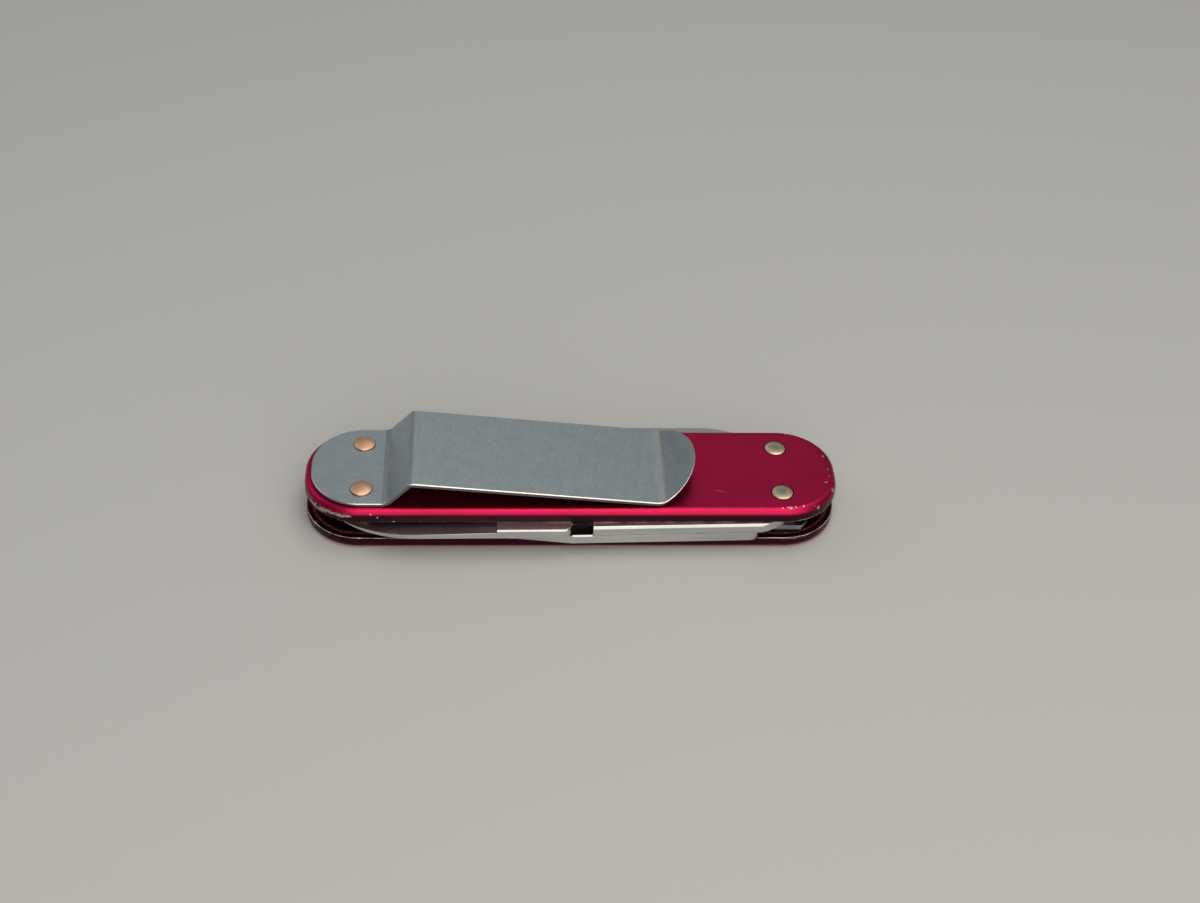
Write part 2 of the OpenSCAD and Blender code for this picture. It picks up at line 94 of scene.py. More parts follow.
# A knock is its x, y and z, with a radius.
TOP_SCALE_KNOCKS = (
    (30.8, 7.7, 6.87, 0.14),
    (35.7, 2.9, 6.87, 0.15),
    (36.0, 0.1, 6.83, 0.13),
    (36.0, -1.3, 6.83, 0.12),
    (35.4, -2.6, 6.9, 0.15),
    (36.2, -3.8, 6.56, 0.26),
    (33.8, -7.1, 6.34, 0.22),
    (33.2, -7.2, 6.6, 0.12),
    (31.7, -7.5, 6.87, 0.16),
    (30.5, -7.7, 6.9, 0.14),
    (29.9, -7.8, 6.9, 0.22),
    (29.4, -7.7, 6.9, 0.18),
    (28.7, -7.9, 6.87, 0.12),
    (-27.6, -8.5, 6.3, 0.12),
    (-26.7, -8.65, 5.8, 0.13),
    (-24.5, -8.65, 5.0, 0.16),
    (-20.8, -8.65, 5.0, 0.12),
    (-35.2, -5.9, 6.0, 0.16),
    (-35.6, -5.1, 6.2, 0.14),
    (-36.1, -4.2, 6.1, 0.16),
    (-36.5, -2.9, 6.2, 0.12),
)
BOTTOM_SCALE_KNOCKS = (
    (-35.4, -5.4, 1.95, 0.26),
    (-33.4, -7.4, 1.95, 0.16),
    (34.6, -6.4, 1.95, 0.18),
    (36.6, 3.4, 1.4, 0.26),
    (-36.5, 3.9, 1.4, 0.28),
    (12.0, 8.65, 1.4, 0.22),
)

# A scrape is where it starts and ends along X, with its height and its width.
TOP_SCALE_SCRAPES = (
    (-35.2, -29.8, 5.9, 0.28),
    (-36.9, -33.2, 5.5, 0.20),
    (30.0, 35.8, 5.1, 0.07),
)
BOTTOM_SCALE_SCRAPES = ((28.0, 33.5, 1.78, 0.07),)

# A scratch is its x and y, with an angle in radians, a length and a width.
TOP_SCALE_SCRATCHES = ((20.4, -4.5, -0.28, 2.4, 0.05),)


def place(tree, kind, sockets=None, **options):
    """Adds a node, sets its options, and fills its sockets with values or with links."""
    added = tree.nodes.new(kind)
    for option, value in options.items():
        setattr(added, option, value)
    for socket, value in (sockets or {}).items():
        if isinstance(value, bpy.types.NodeSocket):
            tree.links.new(value, added.inputs[socket])
        else:
            added.inputs[socket].default_value = value
    return added


def maths(tree, operation, first, second=0.0, clamp=False):
    """The result of a Math node on one or two values."""
    sockets = {0: first, 1: second}
    return place(tree, "ShaderNodeMath", sockets, operation=operation, use_clamp=clamp).outputs[0]


def vector_maths(tree, operation, first, second=(0, 0, 0)):
    """The vector that a Vector Math node makes of one or two vectors."""
    added = place(tree, "ShaderNodeVectorMath", {0: first, 1: second}, operation=operation)
    return added.outputs["Vector"]


def distance(tree, first, second=(0, 0, 0)):
    """How far two points are apart, or how long a vector is."""
    added = place(tree, "ShaderNodeVectorMath", {0: first, 1: second}, operation="DISTANCE")
    return added.outputs["Value"]


def scaled(tree, vector, factor):
    """A vector made longer or shorter by a factor."""
    added = place(tree, "ShaderNodeVectorMath", {0: vector, "Scale": factor}, operation="SCALE")
    return added.outputs["Vector"]


def turned(tree, vector, angle):
    """A vector turned about Z."""
    sockets = {"Vector": vector, "Angle": angle}
    return place(tree, "ShaderNodeVectorRotate", sockets, rotation_type="Z_AXIS").outputs[0]


def axes(tree, vector):
    """The X, Y and Z of a vector."""
    return place(tree, "ShaderNodeSeparateXYZ", {0: vector}).outputs


def vector_of(tree, x=0.0, y=0.0, z=0.0):
    """A vector put together from its X, Y and Z."""
    return place(tree, "ShaderNodeCombineXYZ", {"X": x, "Y": y, "Z": z}).outputs[0]


def ramp(tree, value, low, high, out_low=0.0, out_high=1.0):
    """A value that goes smoothly from out_low to out_high while another goes from low to high."""
    added = place(
        tree,
        "ShaderNodeMapRange",
        {"Value": value, "From Min": low, "From Max": high, "To Min": out_low, "To Max": out_high},
        interpolation_type="SMOOTHSTEP",
    )
    return added.outputs["Result"]


def mixed(tree, factor, under, over):
    """One colour laid over another by a factor."""
    return place(tree, "ShaderNodeMix", {0: factor, 6: under, 7: over}, data_type="RGBA").outputs[2]


def noise(tree, vector, scale, detail=2.0, roughness=0.5):
    """The value of a noise texture, from 0 to 1."""
    sockets = {"Vector": vector, "Scale": scale, "Detail": detail, "Roughness": roughness}
    return place(tree, "ShaderNodeTexNoise", sockets).outputs["Fac"]


def sway(tree, vector, scale, width):
    """A noise that swings to both sides of zero, over a width."""
    return maths(tree, "MULTIPLY", maths(tree, "SUBTRACT", noise(tree, vector, scale), 0.5), width)


def millimetres(tree):
    """The place on the piece, in millimetres of the frame."""
    return scaled(tree, place(tree, "ShaderNodeTexCoord").outputs["Object"], 1000.0)


def effect_group(name, inputs, outputs):
    """A shader node group with float inputs, which have values to start with, and named outputs."""
    group = bpy.data.node_groups.new(name, "ShaderNodeTree")
    for socket, value in inputs.items():
        made = group.interface.new_socket(socket, in_out="INPUT", socket_type="NodeSocketFloat")
        made.default_value = value
    for socket in outputs:
        group.interface.new_socket(socket, in_out="OUTPUT", socket_type="NodeSocketFloat")
    given = group.nodes.new("NodeGroupInput").outputs
    return group, given, group.nodes.new("NodeGroupOutput").inputs


def effect(tree, group, **values):
    """The outputs of an effect that is placed in a material with its own values."""
    sockets = {name.replace("_", " "): value for name, value in values.items()}
    return place(tree, "ShaderNodeGroup", sockets, node_tree=group).outputs


def new_finish(name, **constants):
    """A material with its Principled shader, and the values that are the same all over it."""
    material = bpy.data.materials.new(name)
    material.use_nodes = True
    shader = material.node_tree.nodes["Principled BSDF"]
    for socket, value in constants.items():
        shader.inputs[socket.replace("_", " ")].default_value = value
    return material, material.node_tree, shader.inputs


def bump(tree, height, full_height, normal=None):
    """A normal from a height map and its full height, laid on another normal if there is one."""
    sockets = {"Height": height, "Distance": full_height / 1000, "Strength": 1.0}
    if normal is not None:
        sockets["Normal"] = normal
    return place(tree, "ShaderNodeBump", sockets).outputs["Normal"]


FLAT_ANGLE = math.radians(0.5)
SHARP_ANGLE = math.radians(30)


def soften_edges(piece, width, segments=2, merge=0.001, smooth_bends=False):
    """Breaks the sharp edges of a piece as tumbling does, and may shade its bends as one round."""
    weld = piece.modifiers.new("weld", "WELD")
    weld.merge_threshold = merge / 1000
    flatten = piece.modifiers.new("flatten", "DECIMATE")
    flatten.decimate_type = "DISSOLVE"
    flatten.angle_limit = FLAT_ANGLE
    edge = piece.modifiers.new("edge", "BEVEL")
    edge.width = width / 1000
    edge.segments = segments
    edge.limit_method = "ANGLE"
    edge.angle_limit = SHARP_ANGLE
    edge.use_clamp_overlap = False
    edge.miter_outer = "MITER_ARC"
    shade = piece.modifiers.new("shade", "WEIGHTED_NORMAL")
    shade.keep_sharp = not smooth_bends


def dress(name, material, edge, **edge_options):
    """Gives a CAD node its material, and breaks its sharp edges."""
    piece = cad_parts[name]
    piece.data.materials.clear()
    piece.data.materials.append(material)
    soften_edges(piece, edge, **edge_options)


def middle_of(name):
    """The middle of a CAD node, in millimetres."""
    return sum((corner * 500 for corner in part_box(name)), Vector())


GRAIN_SHADE_SCALE = 0.11


def fine_grain_effect():
    """A fine noise, which may be stretched along the grain, and the broader shades in it."""
    group, given, result = effect_group(
        "fine grain",
        {"Size": 0.12, "Stretch along X": 1.0, "Stretch along Y": 1.0},
        ["Height", "Shade"],
    )
    stretch = vector_of(
        group,
        maths(group, "DIVIDE", 1.0, given["Stretch along X"]),
        maths(group, "DIVIDE", 1.0, given["Stretch along Y"]),
        1.0,
    )
    spot = vector_maths(group, "MULTIPLY", millimetres(group), stretch)
    scale = maths(group, "DIVIDE", 1.0, given["Size"])
    shade_scale = maths(group, "MULTIPLY", scale, GRAIN_SHADE_SCALE)
    group.links.new(noise(group, spot, scale, detail=3.0, roughness=0.6), result["Height"])
    group.links.new(noise(group, spot, shade_scale), result["Shade"])
    return group


def outline_effect():
    """How far a point lies inside a rectangle with round corners, seen from above."""
    group, given, result = effect_group(
        "distance from outline",
        {"Centre X": 0.0, "Half length": 37.0, "Half width": 8.65, "Corner radius": SCALE_CORNER_R},
        ["Inside"],
    )
    corner = vector_of(
        group,
        maths(group, "SUBTRACT", given["Half length"], given["Corner radius"]),
        maths(group, "SUBTRACT", given["Half width"], given["Corner radius"]),
    )
    centre = vector_of(group, given["Centre X"])
    from_centre = vector_maths(group, "SUBTRACT", millimetres(group), centre)
    past_corner = vector_maths(group, "SUBTRACT", vector_maths(group, "ABSOLUTE", from_centre), corner)
    outward = vector_maths(group, "MAXIMUM", past_corner, (0, 0, 0))
    reach = distance(group, vector_maths(group, "MULTIPLY", outward, (1, 1, 0)))
    group.links.new(maths(group, "SUBTRACT", given["Corner radius"], reach), result["Inside"])
    return group


KNOCK_WOBBLE = 3.0
KNOCK_FADE = (-0.03, 0.04)


def knock_effect():
    """A ragged chip round a point, whose rim wobbles in step with its size."""
    group, given, result = effect_group(
        "knock", {"X": 0.0, "Y": 0.0, "Z": 0.0, "Radius": 0.3}, ["Mask"]
    )
    spot = millimetres(group)
    sockets = {"Vector": spot, "Scale": 3.4, "Detail": 4.0}
    ragged = place(group, "ShaderNodeTexNoise", sockets).outputs["Color"]
    off_middle = vector_maths(group, "SUBTRACT", ragged, (0.5, 0.5, 0.5))
    wobble = scaled(group, off_middle, maths(group, "MULTIPLY", given["Radius"], KNOCK_WOBBLE))
    centre = vector_of(group, given["X"], given["Y"], given["Z"])
    far = distance(group, vector_maths(group, "ADD", spot, wobble), centre)
    near = maths(group, "SUBTRACT", given["Radius"], far)
    group.links.new(ramp(group, near, *KNOCK_FADE), result["Mask"])
    return group


RIVET_HEAD_R = 1.5
GRIME_FADE_END = 1.6
rivet_at = middle_of("back_right_rivet")


def grime_ring_effect():
    """Dirt on the heads of a pair of rivets, which fades away unevenly past a radius."""
    group, given, result = effect_group(
        "grime round rivets",
        {"Rivet X": rivet_at.x, "Rivet Y": rivet_at.y, "Head radius": RIVET_HEAD_R, "Reach": 0.22},
        ["Mask"],
    )
    spot = millimetres(group)
    parts = axes(group, spot)
    along = maths(group, "SUBTRACT", parts["X"], given["Rivet X"])
    across = maths(group, "SUBTRACT", maths(group, "ABSOLUTE", parts["Y"]), given["Rivet Y"])
    from_rivet = distance(group, vector_of(group, along, across))
    past_head = maths(group, "SUBTRACT", from_rivet, given["Head radius"])
    patchy = ramp(group, noise(group, spot, 1.1), 0.3, 0.7, 0.6, 1.4)
    fade = maths(group, "DIVIDE", past_head, maths(group, "MULTIPLY", given["Reach"], patchy))
    group.links.new(maths(group, "SUBTRACT", GRIME_FADE_END, fade, clamp=True), result["Mask"])
    return group


SCRAPE_DRIFT = 0.3
SCRAPE_TAPER = 1.2
SCRAPE_FADE = 0.05


def scrape_effect():
    """A ragged scrape along the front wall, which tapers off at both ends."""
    group, given, result = effect_group(
        "scrape", {"From X": -1.0, "To X": 1.0, "Height": 0.0, "Width": 0.25}, ["Mask"]
    )
    spot = millimetres(group)
    parts = axes(group, spot)
    from_start = maths(group, "SUBTRACT", parts["X"], given["From X"])
    to_end = maths(group, "SUBTRACT", given["To X"], parts["X"])
    taper = ramp(group, maths(group, "MINIMUM", from_start, to_end), 0.0, SCRAPE_TAPER)
    level = maths(group, "SUBTRACT", parts["Z"], sway(group, spot, 0.5, SCRAPE_DRIFT))
    off = maths(group, "ABSOLUTE", maths(group, "SUBTRACT", level, given["Height"]))
    ragged = ramp(group, noise(group, spot, 4.2, detail=5.0, roughness=0.7), 0.38, 0.62, 0.0, 1.4)
    reach = maths(group, "MULTIPLY", maths(group, "MULTIPLY", given["Width"], ragged), taper)
    mark = ramp(group, maths(group, "SUBTRACT", reach, off), 0.0, SCRAPE_FADE)
    on_front = maths(group, "LESS_THAN", parts["Y"], 0.0)
    group.links.new(maths(group, "MULTIPLY", mark, on_front), result["Mask"])
    return group


SCRATCH_SWAY = 0.5
SCRATCH_FADE = 0.02


def scratch_effect():
    """A thin line on a flat face. It bends a little, skips in places and thins out at its ends."""
    group, given, result = effect_group(
        "scratch", {"X": 0.0, "Y": 0.0, "Angle": 0.0, "Length": 2.0, "Width": 0.03}, ["Mask"]
    )
    spot = millimetres(group)
    from_middle = vector_maths(group, "SUBTRACT", spot, vector_of(group, given["X"], given["Y"]))
    parts = axes(group, turned(group, from_middle, maths(group, "MULTIPLY", given["Angle"], -1.0)))
    along = maths(group, "DIVIDE", maths(group, "ABSOLUTE", parts["X"]), given["Length"])
    half_width = maths(group, "MULTIPLY", given["Width"], ramp(group, along, 0.5, 0.2))
    bent = maths(group, "ADD", parts["Y"], sway(group, spot, 0.5, SCRATCH_SWAY))
    off = maths(group, "ABSOLUTE", bent)
    mark = ramp(group, maths(group, "SUBTRACT", half_width, off), 0.0, SCRATCH_FADE)
    skips = ramp(group, noise(group, spot, 1.6), 0.35, 0.5)
    group.links.new(maths(group, "MULTIPLY", mark, skips), result["Mask"])
    return group


fine_grain = fine_grain_effect()
outline_distance = outline_effect()
knock = knock_effect()
grime_ring = grime_ring_effect()
scrape = scrape_effect()
scratch = scratch_effect()


def anodised_finish(name, inner_z, inner_red, inner_matt, shade_reach, scrapes, scratches, knocks):
    """Red anodised aluminium whose sharp edge lies at the height of the scale's inner face."""
    material, tree, shader = new_finish(name + "_anodised", Coat_Roughness=ANODISED_COAT_ROUGHNESS)
    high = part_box(name)[1] * 1000
    inside = effect(
        tree, outline_distance, Half_length=high.x, Half_width=high.y, Corner_radius=SCALE_CORNER_R
    )["Inside"]
    spot = millimetres(tree)
    from_inner = maths(tree, "ABSOLUTE", maths(tree, "SUBTRACT", axes(tree, spot)["Z"], inner_z))
    in_from_edge = maths(tree, "GREATER_THAN", inside, SCALE_INNER_EDGE)
    at_inner = maths(tree, "LESS_THAN", from_inner, INSIDE_DEPTH)
    on_inner_face = maths(tree, "MULTIPLY", at_inner, in_from_edge)

    rubbed = ramp(tree, noise(tree, spot, 0.7, detail=4.0, roughness=0.6), 0.35, 0.65, *RUBBED_REACH)
    by_inner = ramp(tree, maths(tree, "SUBTRACT", rubbed, from_inner), -RUBBED_FADE, RUBBED_FADE)
    bare = maths(tree, "MULTIPLY", by_inner, maths(tree, "LESS_THAN", inside, SCALE_INNER_EDGE))
    for from_x, to_x, level, width in scrapes:
        mark = effect(tree, scrape, From_X=from_x, To_X=to_x, Height=level, Width=width)["Mask"]
        bare = maths(tree, "MAXIMUM", bare, maths(tree, "MULTIPLY", mark, SCRAPE_STRENGTH))
    for x, y, z, radius in knocks:
        chip = effect(tree, knock, X=x, Y=y, Z=z, Radius=radius)["Mask"]
        bare = maths(tree, "MAXIMUM", bare, maths(tree, "MULTIPLY", chip, CHIP_STRENGTH))

    cloud = ramp(tree, noise(tree, spot, 0.16, detail=4.0), 0.35, 0.65)
    # Painted shade: the wall and the rim up to a reach from the inner face turn dark wine, standing in
    # for the dark floor in front that they reflect.
    in_wall_shade = ramp(tree, from_inner, shade_reach + WALL_SHADE_FADE, shade_reach - WALL_SHADE_FADE)
    dyed_and_shaded = mixed(tree, in_wall_shade, mixed(tree, cloud, ANODISED_DEEP_RED, ANODISED_RED), WALL_PAINTED_SHADE)
    for x, y, angle, length, width in scratches:
        line = effect(tree, scratch, X=x, Y=y, Angle=angle, Length=length, Width=width)["Mask"]
        dyed_and_shaded = mixed(tree, maths(tree, "MULTIPLY", line, SCRATCH_STRENGTH), dyed_and_shaded, BARE_ALUMINIUM)
    grime = effect(tree, grime_ring, Reach=SCALE_GRIME_REACH)["Mask"]
    dyed_and_shaded = mixed(tree, grime, dyed_and_shaded, GRIME)
    dust = ramp(tree, noise(tree, spot, 2.4, detail=5.0, roughness=0.7), 0.52, 0.70)
    # On an inner face, inner_red lays painted shade on the bottom scale and a pale, partly painted
    # light on the top scale.
    covered = mixed(tree, on_inner_face, dyed_and_shaded, mixed(tree, dust, inner_red, INSIDE_DUST))
    tree.links.new(mixed(tree, bare, covered, BARE_ALUMINIUM), shader["Base Color"])
    tree.links.new(ramp(tree, on_inner_face, 0.0, 1.0, 1.0, 1.0 - inner_matt), shader["Metallic"])

    grain = effect(tree, fine_grain, Size=ANODISED_GRAIN)
    rough = ramp(tree, grain["Shade"], 0.3, 0.7, *ANODISED_ROUGHNESS)
    matt = maths(tree, "MULTIPLY", maths(tree, "MAXIMUM", on_inner_face, grime), UNSEALED_ROUGHNESS)
    tree.links.new(maths(tree, "ADD", rough, matt), shader["Roughness"])
    unsealed = maths(tree, "MAXIMUM", grime, maths(tree, "MAXIMUM", bare, on_inner_face))
    tree.links.new(ramp(tree, unsealed, 0.0, 1.0, ANODISED_COAT, 0.0), shader["Coat Weight"])
    tree.links.new(bump(tree, grain["Height"], ANODISED_GRAIN_H), shader["Normal"])
    return material


scale_finishes = {
    "bottom_scale": anodised_finish(
        "bottom_scale",
        inner_z=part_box("bottom_scale")[1].z * 1000,
        inner_red=INSIDE_SHADED_RED,
        inner_matt=INSIDE_RED_MATT,
        shade_reach=BOTTOM_SHADE_REACH,
        scrapes=BOTTOM_SCALE_SCRAPES,
        scratches=(),
        knocks=BOTTOM_SCALE_KNOCKS,
    ),
    "top_scale": anodised_finish(
        "top_scale",
        inner_z=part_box("top_scale")[0].z * 1000,
        inner_red=INSIDE_WORN_AND_LIT_RED,
        inner_matt=INSIDE_WORN_MATT,
        shade_reach=TOP_SHADE_REACH,
        scrapes=TOP_SCALE_SCRAPES,
        scratches=TOP_SCALE_SCRATCHES,
        knocks=TOP_SCALE_KNOCKS,
    ),
}
for scale_name, scale_finish in scale_finishes.items():
    dress(scale_name, scale_finish, SCALE_INNER_EDGE)


# Spacers: brass sleeves on two of the rivets. They are cut from tube and keep the scales apart
# where no tang does.

SLEEVE_EDGE = 0.08
BRASS = (0.98, 0.74, 0.47, 1)
BRASS_DULL = (0.78, 0.62, 0.42, 1)
BRASS_ROUGHNESS = (0.42, 0.28)


def metal_finish(name, dull, bright, contrast, roughness, grain_h, aged=None, **grain_values):
    """Bare metal with a fine grain, which has gone dull in patches."""
    material, tree, shader = new_finish(name, Metallic=1.0)
    grain = effect(tree, fine_grain, **grain_values)
    colour = mixed(tree, ramp(tree, grain["Shade"], *contrast), dull, bright)
    if aged:
        colour = aged(tree, colour)
    tree.links.new(colour, shader["Base Color"])
    tree.links.new(ramp(tree, grain["Shade"], 0.3, 0.7, *roughness), shader["Roughness"])
    tree.links.new(bump(tree, grain["Height"], grain_h), shader["Normal"])
    return material


def brass_finish(name, aged=None):
    """Brass as it comes from the lathe, a little dull."""
    return metal_finish(
        name,
        BRASS_DULL,
        BRASS,
        contrast=(0.4, 0.65),
        roughness=BRASS_ROUGHNESS,
        grain_h=0.004,
        aged=aged,
        Size=0.15,
    )


sleeve_brass = brass_finish("sleeve_brass")
for sleeve_name in ("front_left_spacer", "back_right_spacer"):
    dress(sleeve_name, sleeve_brass, SLEEVE_EDGE)


# Centre spring: one bar of hardened steel along the middle of the handle. Two steel pins hold
# its wide middle between the scales, and its fingers press on the tangs of the tools. They are
# cut off in line with the rivets, so that the shoulders of an open tool pass them.

SPRING_EDGE = 0.08
SPRING_STEEL = (0.42, 0.43, 0.44, 1)
SPRING_STEEL_DARK = (0.26, 0.27, 0.28, 1)
SPRING_ROUGHNESS = (0.36, 0.26)
SPRING_WELD = 0.001


def new_piece(name, mesh, material):
    """An object of its own in the scene, with its mesh and its material."""
    mesh.materials.append(material)
    piece = bpy.data.objects.new(name, mesh)
    bpy.context.scene.collection.objects.link(piece)
    return piece


spring_steel_and_shade_finish = metal_finish(
    "spring_steel_and_washer_shade",
    SPRING_STEEL_DARK,
    SPRING_STEEL,
    contrast=(0.35, 0.65),
    roughness=SPRING_ROUGHNESS,
    grain_h=0.004,
    Size=0.1,
    Stretch_along_X=8.0,
)
spring_build = bmesh.new()
spring_build.from_mesh(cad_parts["centre_spring"].data)
bmesh.ops.remove_doubles(spring_build, verts=spring_build.verts, dist=SPRING_WELD / 1000)
for spring_end in (-1, 1):
    spring_rim = bmesh.ops.bisect_plane(
        spring_build,
        geom=spring_build.verts[:] + spring_build.edges[:] + spring_build.faces[:],
        plane_co=(spring_end * rivet_at.x / 1000, 0, 0),
        plane_no=(spring_end, 0, 0),
        clear_outer=True,
    )["geom_cut"]
    spring_rim = [part for part in spring_rim if isinstance(part, bmesh.types.BMEdge)]
    bmesh.ops.holes_fill(spring_build, edges=spring_rim)
spring_mesh = bpy.data.meshes.new("centre_spring_bar")
spring_build.to_mesh(spring_mesh)
spring_build.free()
spring_bar = new_piece("centre_spring_bar", spring_mesh, spring_steel_and_shade_finish)
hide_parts("centre_spring")
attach(spring_bar, "handle")
soften_edges(spring_bar, SPRING_EDGE)
for pin_name in ("left_spring_pin", "right_spring_pin"):
    dress(pin_name, spring_steel_and_shade_finish, SPRING_EDGE)


# Tools: the nail file, the blade, and the two halves of the scissors with the washer that gives
# them a tang. All are stamped from stainless sheet and hardened. Their faces are ground matt
# along the length, and their edges are polished. Painted shade darkens the lever behind the
# thumb notch, and the washer takes a darker steel as painted shade.

TOOL_EDGE = 0.05
TOOL_MERGE = 0.03
TOOL_STEEL = (0.64, 0.64, 0.63, 1)
TOOL_STEEL_DARK = (0.55, 0.55, 0.55, 1)
TOOL_EDGE_ROUGHNESS = (0.27, 0.20)
TOOL_FACE_MATT = 0.10
TOOL_GRAIN_H = 0.006
NOTCH_SHADE = (0.055, 0.046, 0.041, 1)
NOTCH_SHADE_AT = (1.2, -8.9, 3.4)
NOTCH_SHADE_FADE = (3.5, 1.7)
FILE_EDGE = 0.04
FILE_CUT_ANGLE = math.radians(-30)
FILE_CUT_PITCH = 0.4
FILE_CUT_H = 0.02
FILE_CUT_DEPTH = 0.2
FILE_SMOOTH_BACK = 2.5
FILE_SMOOTH_TIP = 9.0


def facing_up(tree):
    """How much a face looks up: 1 upwards, 0 sideways and -1 down."""
    return axes(tree, place(tree, "ShaderNodeNewGeometry").outputs["Normal"])["Z"]


def ground_finish(name, marked=None, shade_at=None):
    """Stainless steel with the lines of a grinding belt along the tool, and painted shade round a
    place.
    """
    material, tree, shader = new_finish(name, Metallic=1.0)
    smudge = effect(tree, fine_grain, Size=0.3, Stretch_along_X=5.0)["Shade"]
    on_face = ramp(tree, maths(tree, "ABSOLUTE", facing_up(tree)), 0.80, 0.95)
    colour = mixed(tree, ramp(tree, smudge, 0.35, 0.65), TOOL_STEEL_DARK, TOOL_STEEL)
    # Painted shade: faces near the given place darken, as the thumb notch lies in shade.
    if shade_at:
        near_shade = ramp(tree, distance(tree, millimetres(tree), shade_at), *NOTCH_SHADE_FADE)
        colour = mixed(tree, maths(tree, "MULTIPLY", near_shade, on_face), colour, NOTCH_SHADE)
    tree.links.new(colour, shader["Base Color"])
    polish = ramp(tree, smudge, 0.3, 0.7, *TOOL_EDGE_ROUGHNESS)
    matt = maths(tree, "MULTIPLY", on_face, TOOL_FACE_MATT)
    tree.links.new(maths(tree, "ADD", polish, matt), shader["Roughness"])
    grain = effect(tree, fine_grain, Size=0.07, Stretch_along_X=40.0)
    normal = bump(tree, grain["Height"], TOOL_GRAIN_H)
    if marked:
        normal = marked(tree, normal)
    tree.links.new(normal, shader["Normal"])
    return material


def second_cut(tree, normal):
    """Fine lines that cross the teeth of the file, away from its smooth back and its tip."""
    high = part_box("nail_file")[1] * 1000
    spot = millimetres(tree)
    parts = axes(tree, spot)
    across = axes(tree, turned(tree, spot, FILE_CUT_ANGLE))["X"]
    wave = maths(tree, "SINE", maths(tree, "MULTIPLY", across, 2 * math.pi / FILE_CUT_PITCH))
    off_back = maths(tree, "LESS_THAN", parts["Y"], high.y - FILE_SMOOTH_BACK)
    off_tip = maths(tree, "LESS_THAN", parts["X"], high.x - FILE_SMOOTH_TIP)
    on_top = maths(tree, "GREATER_THAN", parts["Z"], high.z - FILE_CUT_DEPTH)
    on_teeth = maths(tree, "MULTIPLY", maths(tree, "MULTIPLY", off_back, off_tip), on_top)
    return bump(tree, maths(tree, "MULTIPLY", wave, on_teeth), FILE_CUT_H, normal)


tool_finish = ground_finish("tool_steel")
lever_finish = ground_finish("lever_steel", shade_at=NOTCH_SHADE_AT)
file_finish = ground_finish("file_steel", marked=second_cut)
dress("nail_file", file_finish, FILE_EDGE, merge=TOOL_MERGE)
dress("knife_blade", tool_finish, TOOL_EDGE, merge=TOOL_MERGE)
dress("scissors_arm", tool_finish, TOOL_EDGE, merge=TOOL_MERGE)
dress("scissors_lever", lever_finish, TOOL_EDGE, merge=TOOL_MERGE)
# Painted shade: the washer takes the darker spring steel, as it lies in shade between the plates.
dress("scissors_washer", spring_steel_and_shade_finish, TOOL_EDGE)


# Rivets of the scissors: one joins the two halves, and a thinner one holds their leaf spring.
# Both are turned from steel and end flush with the plates.

for small_name in ("scissors_joint_rivet", "leaf_spring_rivet"):
    dress(small_name, tool_finish, TOOL_EDGE)


# Leaf spring: a strip of spring steel, wound into an eye on a rivet of the arm. It pushes the two
# grips apart.

LEAF_T = 0.4
LEAF_EDGE = 0.07
LEAF_R = 44.1
LEAF_TOUCH_X = 7.0
LEAF_STEPS = 30
LEAF_EYE_R = 0.95
LEAF_EYE_TURN = math.radians(320)
LEAF_EYE_STEPS = 28
LEAF_SHARP_ANGLE = math.radians(35)

leaf_low, leaf_high = (corner * 1000 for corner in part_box("leaf_spring"))
leaf_post = middle_of("leaf_spring_rivet")
leaf_lean = math.asin((leaf_post.x - LEAF_TOUCH_X) / (LEAF_R + LEAF_EYE_R))
leaf_tip_angle = -math.asin((LEAF_TOUCH_X - leaf_low.x) / LEAF_R)
leaf_centre = Vector((LEAF_TOUCH_X, leaf_post.y + (LEAF_R - LEAF_EYE_R) * math.cos(leaf_lean)))


def round_points(centre, radius, first, last, steps):
    """Points and outward directions on an arc that starts and ends at angles from -Y towards +X."""
    angles = [first + (last - first) * step / steps for step in range(steps + 1)]
    outward = [Vector((math.sin(angle), -math.cos(angle))) for angle in angles]
    return [(Vector(centre[:2]) + radius * out, out) for out in outward]


leaf_eye = round_points(leaf_post, LEAF_EYE_R, leaf_lean + LEAF_EYE_TURN, leaf_lean, LEAF_EYE_STEPS)
leaf_bow = round_points(leaf_centre, LEAF_R, leaf_lean, leaf_tip_angle, LEAF_STEPS)
leaf_path = leaf_eye[:-1] + leaf_bow

# A corner of the strip's section has two points, one trimmed across and one trimmed in height.
leaf_section = [
    (side * (LEAF_T / 2 - trim_across * LEAF_EDGE), at_top, trim_height * LEAF_EDGE)
    for side, at_top, trim_across, trim_height in (
        (1, False, 1, 0),
        (1, False, 0, 1),
        (1, True, 0, 1),
        (1, True, 1, 0),
        (-1, True, 1, 0),
        (-1, True, 0, 1),
        (-1, False, 0, 1),
        (-1, False, 1, 0),
    )
]
leaf_points = []
for middle, out in leaf_path:
    for off, at_top, trim in leaf_section:
        flat_spot = middle + out * off
        level = leaf_high.z - trim if at_top else leaf_low.z + trim
        leaf_points.append((flat_spot.x / 1000, flat_spot.y / 1000, level / 1000))
leaf_ring = len(leaf_section)
leaf_eye_end = tuple(reversed(range(leaf_ring)))
leaf_tip_end = tuple(range(len(leaf_points) - leaf_ring, len(leaf_points)))
leaf_faces = [leaf_eye_end, leaf_tip_end]
for ring in range(len(leaf_path) - 1):
    for corner in range(leaf_ring):
        here = ring * leaf_ring + corner
        beside = ring * leaf_ring + (corner + 1) % leaf_ring
        leaf_faces.append((here, beside, beside + leaf_ring, here + leaf_ring))
leaf_mesh = bpy.data.meshes.new("leaf_spring_strip")
leaf_mesh.from_pydata(leaf_points, [], leaf_faces)
leaf_mesh.shade_smooth()
leaf_mesh.set_sharp_from_angle(angle=LEAF_SHARP_ANGLE)
